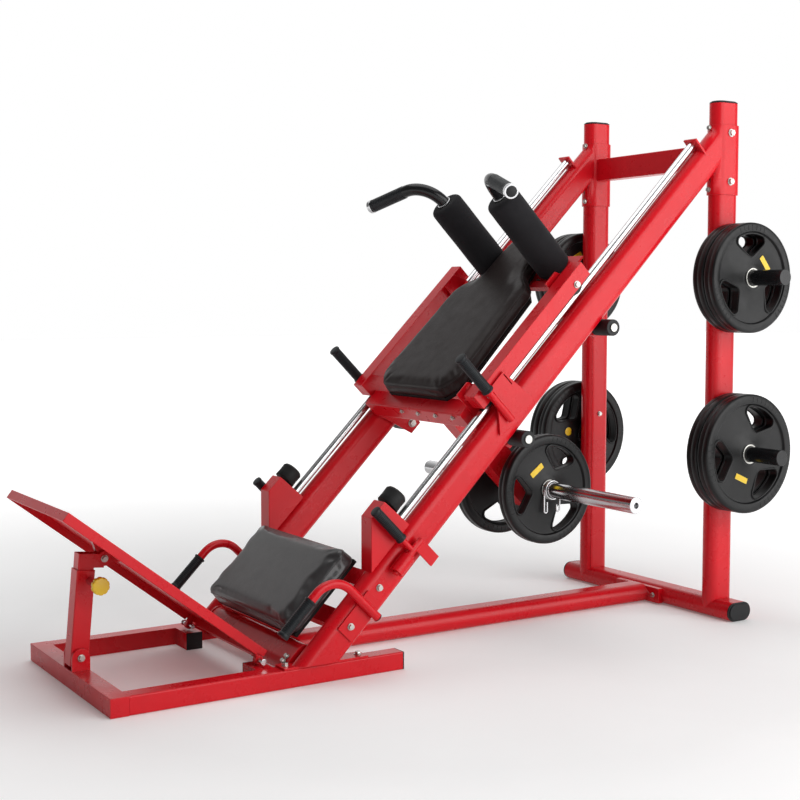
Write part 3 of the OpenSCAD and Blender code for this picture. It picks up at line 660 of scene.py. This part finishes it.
def ribbed_profile(length, radius, bore, flange=2.6 * MM, ribs=22):
    """Handgrip: a flange at each end and shallow ribs between, with a domed closed end."""
    groove = radius - 0.9 * MM
    profile = [(0, 0), (bore, 0), (radius + flange, 0), (radius + flange, 4 * MM),
               (radius + 0.4 * MM, 6 * MM)]
    first, last = 9 * MM, length - 12 * MM
    pitch = (last - first) / ribs
    for k in range(ribs):
        base = first + k * pitch
        profile += [(groove, base + 0.12 * pitch), (radius, base + 0.3 * pitch),
                    (radius, base + 0.72 * pitch), (groove, base + 0.9 * pitch)]
    return profile + [
        (radius + 0.4 * MM, length - 9 * MM), (radius + flange * 0.6, length - 7 * MM),
        (radius + flange * 0.6, length - 3.5 * MM), (radius, length - 1 * MM),
        (radius * 0.6, length), (0, length)]


def grips():
    """Rubber grips of the carriage bars, the safety levers and the seat handles."""
    carriage_parts = []
    for side, word in SIDES:
        low, high = extent("carriage_grips", RAIL, side)
        middle = (low + high) / 2
        foot = RAIL @ Vector((middle.x, middle.y, low.z))
        profile = ribbed_profile(high.z - low.z, 16 * MM, 11 * MM)
        carriage_parts.append((profile, standing(foot, OUT_OF_RAIL)))
        low, high = extent(f"lever_grip_{word}", RAIL)
        middle = (low + high) / 2
        foot = RAIL @ Vector((middle.x, middle.y, low.z))
        profile = ribbed_profile(high.z - low.z, 14.4 * MM, 8 * MM, flange=1.6 * MM, ribs=19)
        turned(f"lever_grip_{word}_ribbed", f"lever_grip_{word}",
               [(profile, standing(foot, OUT_OF_RAIL))])
    turned("carriage_grips_ribbed", "carriage_grips", carriage_parts)

    seat_parts = []
    grip_length, grip_radius, bar = 122 * MM, 15.2 * MM, 12.5 * MM
    plug_profile = [(0, 0), (bar + 0.1 * MM, 0), (bar + 0.1 * MM, 2.4 * MM), (10 * MM, 4 * MM),
                    (0, 4 * MM)]
    for side in (LEFT, RIGHT):
        low, high = extent("seat_grips", RAIL, side)
        y = side * (abs(low.y) + abs(high.y)) / 2
        foot = RAIL @ Vector((low.x + grip_length, y, high.z - 16 * MM))
        profile = ribbed_profile(grip_length, grip_radius, bar, flange=2 * MM, ribs=19)
        seat_parts.append((profile, standing(foot, -UP_RAIL)))
        plug = RAIL @ Vector((high.x - bar, y, low.z + 4 * MM))
        seat_parts.append((plug_profile, standing(plug, -OUT_OF_RAIL)))
    turned("seat_grips_ribbed", "seat_grips", seat_parts)


def rollers():
    """Foam shoulder rollers with soft ends, hollow where the handle leaves."""
    soft, mouth = 15 * MM, 15 * MM
    parts = []
    for side in (LEFT, RIGHT):
        low, high = extent("shoulder_rollers", RAIL, side)
        radius = (high.x - low.x) / 2
        length = high.z - low.z
        profile = [(mouth, 8 * MM), (mouth, 0.6 * MM), (mouth + 2 * MM, 0)]
        profile += fillet((radius - soft, soft), soft, -90, 0)
        profile += [(radius + 0.7 * MM, length * 0.3), (radius, length * 0.55),
                    (radius + 0.5 * MM, length * 0.8)]
        profile += fillet((radius - soft, length - soft), soft, 0, 90)
        profile += [(mouth + 6 * MM, length), (mouth + 3 * MM, length - 2 * MM),
                    (mouth + 1.5 * MM, length - 9 * MM), (mouth, length - 9.5 * MM)]
        middle = (low + high) / 2
        foot = RAIL @ Vector((middle.x, middle.y, low.z))
        parts.append((profile, standing(foot, OUT_OF_RAIL)))
    piece = turned("shoulder_rollers_foam", "shoulder_rollers", parts, segments=96)


def bumpers():
    """Rubber stops, slightly waisted, with a chamfered face and a shallow recess in it."""
    parts = []
    for side in (LEFT, RIGHT):
        low, high = extent("bumpers", RAIL, side)
        radius, length = (high.y - low.y) / 2, high.x - low.x
        middle = (low + high) / 2
        profile = [(0, 0), (radius - 1 * MM, 0), (radius, 1.5 * MM),
                   (radius - 1.2 * MM, length * 0.4), (radius - 0.4 * MM, length - 7 * MM),
                   (radius - 5 * MM, length - 1 * MM), (radius - 7 * MM, length),
                   (9 * MM, length), (7 * MM, length - 5 * MM), (0, length - 5 * MM)]
        foot = RAIL @ Vector((low.x, middle.y, middle.z))
        parts.append((profile, standing(foot, UP_RAIL)))
    turned("bumpers_moulded", "bumpers", parts)


def latch_knob():
    """Yellow knob of the latch pin, with finger flutes, and the bare end of the pin."""
    shank, thick = 4.5 * MM, 18 * MM
    flutes, depth = 10, 1.7 * MM
    low, high = extent("pop_pin_knob")
    radius = (high.x - low.x) / 2
    centre = (low + high) / 2
    face = standing((centre.x, low.y, centre.z), (0, 1, 0))
    profile = [(0, -0.5 * MM), (radius * 0.55, 0), (radius * 0.8, 0.8 * MM)]
    profile += fillet((radius - 4 * MM, 4.5 * MM), 4 * MM, -70, 0, 5)
    profile += fillet((radius - 3 * MM, thick - 4 * MM), 3 * MM, 0, 90, 5)
    profile += [(10 * MM, thick), (8 * MM, thick + 2 * MM), (7.5 * MM, thick + 9 * MM),
                (0, thick + 9 * MM)]
    mesh = lathe(profile, 120)
    for v in mesh.vertices:
        reach = math.hypot(v.co.x, v.co.y)
        if reach > radius * 0.7 and v.co.z < thick:
            dip = max(0.0, math.cos(flutes * math.atan2(v.co.y, v.co.x))) ** 2
            share = (reach - depth * dip) / reach
            v.co.x *= share
            v.co.y *= share
    mesh.transform(face)
    end = high.y - low.y
    pin = lathe([(0, 12 * MM), (shank, 12 * MM), (shank, end - MM), (shank - MM, end), (0, end)])
    pin.transform(face)
    piece = to_object("latch_knob_fluted", mesh, "pop_pin_knob")
    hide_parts("pop_pin_knob")
    to_object("latch_pin", pin, "pop_pin_knob", "bolt_steel")


# ---- weight plates ----

def hole_outline(radius, grow):
    """Rounded triangular grip hole about the angle zero, its point towards the hub."""
    steps = 6
    corner, lobe = math.radians(20), radius * 0.1 + grow
    far, near = radius * 0.7, radius * 0.48
    side = math.atan2(far * math.sin(corner), far * math.cos(corner) - near) + math.pi / 2
    out = (far * math.cos(corner), far * math.sin(corner))
    arcs = [((0, 0), far + lobe, -corner, corner), (out, lobe, corner, side),
            ((near, 0), lobe, side, 2 * math.pi - side), ((out[0], -out[1]), lobe, -side, -corner)]
    points = []
    for middle, reach, start, end in arcs:
        for k in range(steps):
            a = start + (end - start) * k / steps
            points.append((middle[0] + reach * math.cos(a), middle[1] + reach * math.sin(a)))
    return points


def prism(outline, low, high, turn):
    """Straight block over an outline that is turned about Z."""
    bm = bmesh.new()
    c, s = math.cos(turn), math.sin(turn)
    face = bm.faces.new([bm.verts.new((x * c - y * s, x * s + y * c, low)) for x, y in outline])
    lifted = bmesh.ops.extrude_face_region(bm, geom=[face])
    above = [v for v in lifted["geom"] if isinstance(v, bmesh.types.BMVert)]
    bmesh.ops.translate(bm, verts=above, vec=(0, 0, high - low))
    bmesh.ops.recalc_face_normals(bm, faces=bm.faces)
    mesh = bpy.data.meshes.new("prism")
    bm.to_mesh(mesh)
    bm.free()
    return mesh


def plate_profile(radius, thick, bore):
    """Section of a plate: raised rim, dished web and hub, the same on both faces."""
    rim, hub = radius * 0.84, 40 * MM
    web, step = 8.5 * MM, 3 * MM
    half = [(bore, 0.8 * MM), (bore + 1 * MM, 0), (hub - 3 * MM, 0), (hub, 1 * MM),
            (hub + 5 * MM, 3.2 * MM),
            (radius * 0.5, 6.4 * MM), (rim - 9 * MM, web), (rim - 4 * MM, web - 0.5 * MM),
            (rim - 1 * MM, step), (rim, 1.2 * MM), (rim + 2.5 * MM, 0.2 * MM), (radius * 0.93, 0),
            (radius - 7 * MM, 0.6 * MM), (radius - 2.5 * MM, 2.8 * MM), (radius - 0.6 * MM, 6 * MM),
            (radius, 10 * MM)]
    groove = [(radius, thick / 2 - 1.2 * MM), (radius - 0.8 * MM, thick / 2),
              (radius, thick / 2 + 1.2 * MM)]
    return half + groove + [(r, thick - h) for r, h in reversed(half)]


def plate_body(radius, thick, bore):
    """One plate about Z, its first grip hole on +X: cut, with rolled lips and grip ribs."""
    lip, lip_depth = 3.4 * MM, 7.2 * MM
    rib_radius, rib_depth, rib_pitch = 1.7 * MM, 0.7 * MM, 6.5
    disc = lathe(plate_profile(radius, thick, bore), 144)
    obj = bpy.data.objects.new("scratch", disc)
    bpy.context.scene.collection.objects.link(obj)
    cutters = []
    for k in range(3):
        hole = prism(hole_outline(radius, 0), -5 * MM, thick + 5 * MM, k * THIRD_TURN)
        cutter = bpy.data.objects.new("cutter", hole)
        bpy.context.scene.collection.objects.link(cutter)
        cut = obj.modifiers.new("cut", "BOOLEAN")
        cut.operation = "DIFFERENCE"
        cut.solver = "EXACT"
        cut.object = cutter
        cutters.append(cutter)
    mesh = baked(obj)
    for cutter in cutters:
        bpy.data.objects.remove(cutter)
    parts = [(mesh, Matrix.Identity(4))]
    ring = hole_outline(radius, 1.2 * MM)
    for lip_height, rib_height in ((lip_depth, rib_depth), (thick - lip_depth, thick - rib_depth)):
        for k in range(3):
            turn = Matrix.Rotation(k * THIRD_TURN, 4, "Z")
            wire = [(x, y, lip_height) for x, y in ring]
            parts.append((round_bar(wire, lip, cyclic=True, resolution=8), turn))
            for rib in range(-3, 4):
                angle = math.radians(rib * rib_pitch)
                arm = Vector((math.cos(angle), math.sin(angle), 0))
                level = Vector((0, 0, rib_height))
                ends = [arm * radius * 0.865 + level, arm * radius * 0.955 + level]
                parts.append((round_bar(ends, rib_radius, resolution=6), turn))
    return joined(parts)


def hub_ring(bore, thick):
    """Steel bush that shows at both faces of a plate."""
    outer, chamfer = bore + 5.5 * MM, 1 * MM
    proud, face = 1.2 * MM, 1.8 * MM
    return lathe([(bore, -proud), (bore + chamfer, -face), (outer - chamfer, -face), (outer, -proud),
                  (outer, thick + proud), (outer - chamfer, thick + face),
                  (bore + chamfer, thick + face), (bore, thick + proud)])


def badge(round_one):
    """Plain yellow patch, flat on XY."""
    sunk, proud = -1 * MM, 1.1 * MM
    if round_one:
        return lathe([(0, sunk), (15 * MM, sunk), (15 * MM, 0.6 * MM), (14 * MM, proud),
                      (0, proud)], 48)
    half_w, half_h, corner = 9 * MM, 27 * MM, 2.5 * MM
    outline = rounded_outline([(-half_w, -half_h), (half_w, -half_h), (half_w, half_h),
                               (-half_w, half_h)], [corner] * 4, 4)
    mesh = prism(outline, sunk, proud, 0)
    smooth(mesh, 30)
    return mesh


# for each stack: its side, its number of plates, the angle of its first grip hole, and where its
# badge stands: the angle as seen from the right side, and the distance from the hub
STACKS = {
    "plates_upper_left": (LEFT, 2, 40, 118, 98 * MM),
    "plates_lower_left": (LEFT, 2, 10, 173, 77 * MM),
    "horn_plate_left": (LEFT, 1, 20, 320, 78 * MM),
    "plates_upper_right": (RIGHT, 2, 92, 39, 72 * MM),
    "plates_lower_right": (RIGHT, 2, 67, 247, 83 * MM),
    "horn_plate_right": (RIGHT, 1, 66, 127, 78 * MM),
}
ROUND_BADGE = "plates_lower_left"


def plates():
    """Stored and loaded plates: rubber bodies, steel bushes and badges."""
    bore, gap = 25.5 * MM, 1 * MM
    bodies = {}
    for node, (side, count, hole_angle, badge_angle, reach) in STACKS.items():
        low, high = extent(node)
        radius = (high.x - low.x) / 2
        thick = ((high.y - low.y) - (count - 1) * gap) / count
        key = (round(radius, 4), round(thick, 4))
        if key not in bodies:
            bodies[key] = plate_body(radius, thick, bore)
        centre = (low + high) / 2
        turn = math.radians(hole_angle)
        x_axis = Vector((math.cos(turn), 0, math.sin(turn)))
        axis = Vector((0, side, 0))
        # the web slopes, so a badge lies deeper the further out it is
        depth = 4.6 * MM + (reach - 60 * MM) * 0.055
        turned_by = Matrix.Rotation(side * (turn - math.radians(badge_angle)), 4, "Z")
        outer_face = Matrix.Translation((reach, 0, thick - depth))
        inner_face = Matrix.Translation((reach, 0, depth)) @ Matrix.Rotation(math.pi, 4, "Y")
        rubber, steel, yellow = [], [], []
        for k in range(count):
            inner = (low.y if side > 0 else -high.y) + k * (thick + gap)
            place = Matrix((x_axis, axis.cross(x_axis), axis)).transposed().to_4x4()
            place.translation = Vector((centre.x, side * inner, centre.z))
            rubber.append((bodies[key], place))
            steel.append((hub_ring(bore, thick), place))
            for spot in (outer_face, inner_face):
                yellow.append((badge(node == ROUND_BADGE), place @ turned_by @ spot))
        piece = to_object(f"{node}_rubber", joined(rubber), node)
        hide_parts(node)
        to_object(f"{node}_bushes", joined(steel), node, "bolt_steel")
        to_object(f"{node}_badges", joined(yellow), node, "yellow_plastic")


def loop_end(x, y, low, high, outward):
    """Squeeze loop below the coil: from high down to low and back up, as (x, y, z) points."""
    bend, steps, short = 6 * MM, 8, 24 * MM
    points = [(x, y, high)]
    for k in range(steps + 1):
        a = math.pi * k / steps
        points.append((x + outward * bend * (1 - math.cos(a)), y, low - bend * math.sin(a)))
    return points + [(x + outward * 2 * bend, y, high - short)]


def spring_clips():
    """Coil of wire round the horn, its two ends bent into squeeze loops that hang below it."""
    wire, coil_radius, turns, steps = 2.7 * MM, 28.6 * MM, 2.5, 100
    for side, word in SIDES:
        node = f"spring_clip_{word}"
        low, high = extent("weight_horns", side=side)
        centre = (low + high) / 2
        inner = min(abs(v.co.y) for v in NODES[node].data.vertices)
        outer = max(abs(v.co.y) for v in NODES[node].data.vertices)
        width = outer - inner - 2 * wire
        coil = []
        for k in range(steps + 1):
            angle = math.pi + 2 * math.pi * turns * k / steps
            coil.append((coil_radius * math.cos(angle), width * k / steps,
                         coil_radius * math.sin(angle)))
        near = loop_end(-27 * MM, 0, -66 * MM, -14 * MM, 1)
        far = loop_end(24 * MM, width, -62 * MM, -22 * MM, -1)
        path = [Vector((centre.x + x, side * (inner + wire + y), centre.z + z))
                for x, y, z in near[::-1] + coil + far]
        piece = to_object(f"{node}_wire", round_bar(path, wire, resolution=10), node)
        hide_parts(node)


def hand_sleeves():
    """Matt sleeves over the outer legs of the roller handles, and the textured faces of their ends."""
    bar, length, cap_thick = 19.5 * MM, 140 * MM, 12 * MM
    radius, bore = bar + 1.4 * MM, bar - 0.1 * MM
    grooves, pitch, half_groove = 17, 7.4 * MM, 1.2 * MM
    legs_turned = math.radians(23)
    cap_reach, outer_part = 45 * MM, 0.3
    profile = [(bore, 0), (radius - 1 * MM, 0), (radius, 1.5 * MM)]
    for k in range(grooves):
        base = 6 * MM + k * pitch
        profile += [(radius, base), (radius - 0.7 * MM, base + half_groove),
                    (radius, base + 2 * half_groove)]
    profile += [(radius, length - 1.5 * MM), (radius - 1 * MM, length), (bore, length)]
    disc = [(0, 0), (16.5 * MM, 0), (16.5 * MM, 1.2 * MM), (15 * MM, 2.2 * MM), (0, 2.6 * MM)]
    sleeves, faces = [], []
    for side in (LEFT, RIGHT):
        ends = [v.co for v in NODES["handle_ends"].data.vertices if v.co.y * side > 0]
        farthest = max(abs(p.y) for p in ends)
        cap = [p for p in ends if abs(p.y) > farthest - cap_reach and abs(p.y) > outer_part]
        centre = sum(cap, Vector()) / len(cap)
        away = RAIL @ Vector((-math.sin(legs_turned), side * math.cos(legs_turned), 0))
        start = centre - away * (length + cap_thick / 2)
        sleeves.append((profile, standing(start, away)))
        faces.append((disc, standing(centre + away * (cap_thick / 2 - 0.5 * MM), away)))
    turned("hand_sleeves", "shoulder_handles", sleeves, slot="grip_rubber", replace=False)
    turned("handle_end_faces", "handle_ends", faces, slot="black_plastic", replace=False)


# ---- hard parts that keep their CAD shape, with rounded edges ----

# each group: its nodes, the rounding of a long edge, and the share of it that a short edge gets
SQUARE_TUBES = (("base_tube_left", "base_tube_right", "top_cross_beam", "seat_frame",
                 "post_outer", "post_inner", "carriage_frame"), 4.0 * MM, 0.2)
FLAT_OVALS = (("centre_base_tube", "seat_cross_tube", "rear_cross_tube", "upright_left",
               "upright_right", "rail_left", "rail_right"), 1.0 * MM, 0.8)
FOLDED_PLATES = (("front_cross_tube", "bumper_brackets", "carriage_channels", "carriage_wraps",
                  "carriage_hangers", "foot_plate", "foot_rib"), 1.5 * MM, 0.8)
ROUND_BARS = (("seat_handles", "lever_barrels", "lever_left", "lever_right", "storage_pegs",
               "shoulder_handles"), 1.0 * MM, 1.0)
BRIGHT_PARTS = (("guide_rods", "foot_hinge_pins", "pop_pin_body", "handle_ends",
                 "weight_horns"), 1.2 * MM, 1.0)
FASTENERS = (("frame_bolts", "carriage_bolts", "post_pin"), 0.5 * MM, 1.0)
MOULDED = (("tube_caps", "guide_wheels_lower", "guide_wheels_upper", "under_wheels_lower",
            "under_wheels_upper", "seat_board", "back_board"), 1.6 * MM, 1.0)


def hard_parts():
    """Everything that is neither soft nor turned."""
    groups = (SQUARE_TUBES, FLAT_OVALS, FOLDED_PLATES, ROUND_BARS, BRIGHT_PARTS, FASTENERS, MOULDED)
    for nodes, width, narrow in groups:
        for node in nodes:
            skin(node, width, narrow)


camera()
studio()
hard_parts()
seat()
backrest()
grips()
rollers()
bumpers()
latch_knob()
plates()
spring_clips()
hand_sleeves()
